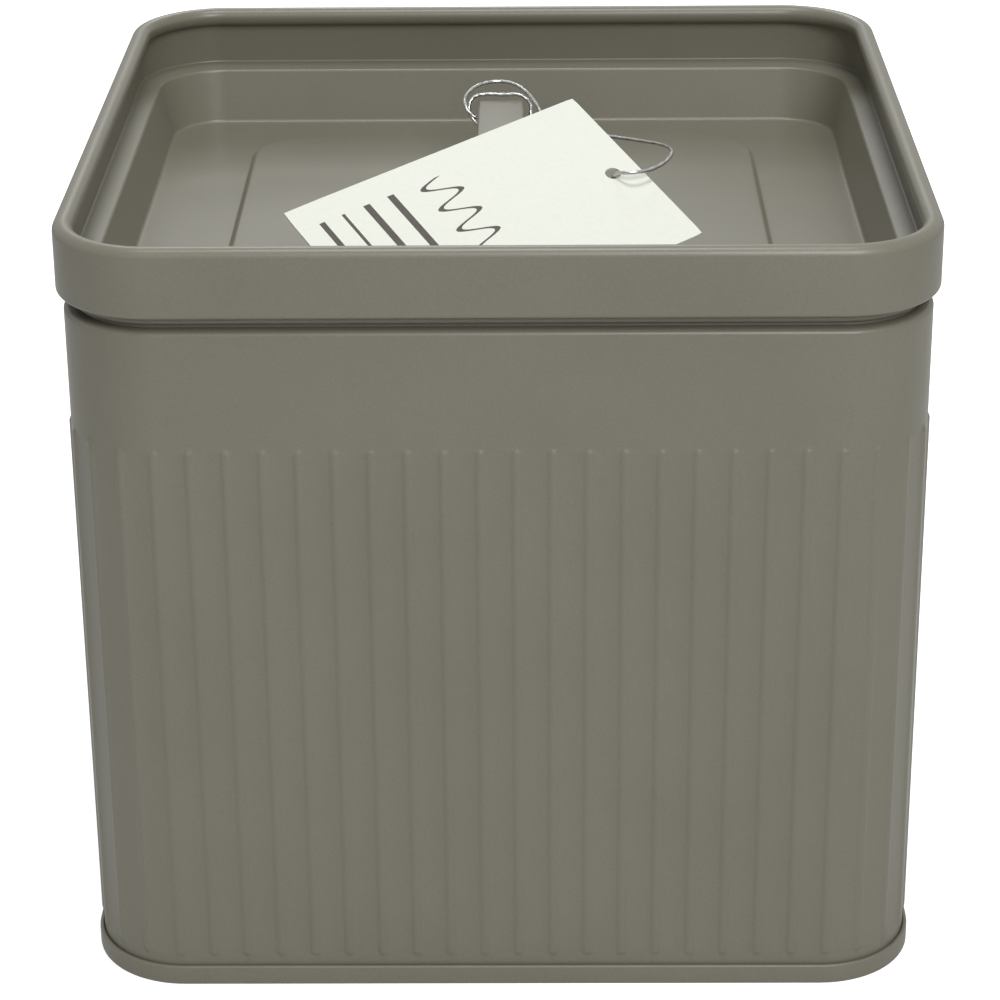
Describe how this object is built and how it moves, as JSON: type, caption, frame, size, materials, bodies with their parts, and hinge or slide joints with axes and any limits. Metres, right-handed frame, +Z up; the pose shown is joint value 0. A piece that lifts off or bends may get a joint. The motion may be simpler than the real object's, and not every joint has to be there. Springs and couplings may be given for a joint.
{
  "type": "storage tin",
  "caption": "Square painted steel storage tin with ribbed walls, lift-off tray lid, strap handle and a plain white swing tag",
  "frame": {"origin": "middle of the footprint, at the floor", "axes": "+Z up, front at -Y, +X to the right as seen from the front"},
  "size_m": [0.188, 0.188, 0.182],
  "materials": {
    "tin_paint": "satin",
    "tag_card": "matt",
    "silver_cord": "silver metallic thread"
  },
  "bodies": {
    "box": {"body_shell": "tin_paint", "base_plate": "tin_paint"},
    "lid": {"lid": "tin_paint", "lid_handle": "tin_paint", "handle_rivets": "tin_paint", "swing_tag": "tag_card", "tag_string": "silver_cord", "string_knot": "silver_cord"}
  },
  "joints": [
    {"name": "lid_lift", "type": "slide", "parent": "box", "child": "lid", "axis": [0, 0, 1], "range_m": [0, 0.1]}
  ]
}
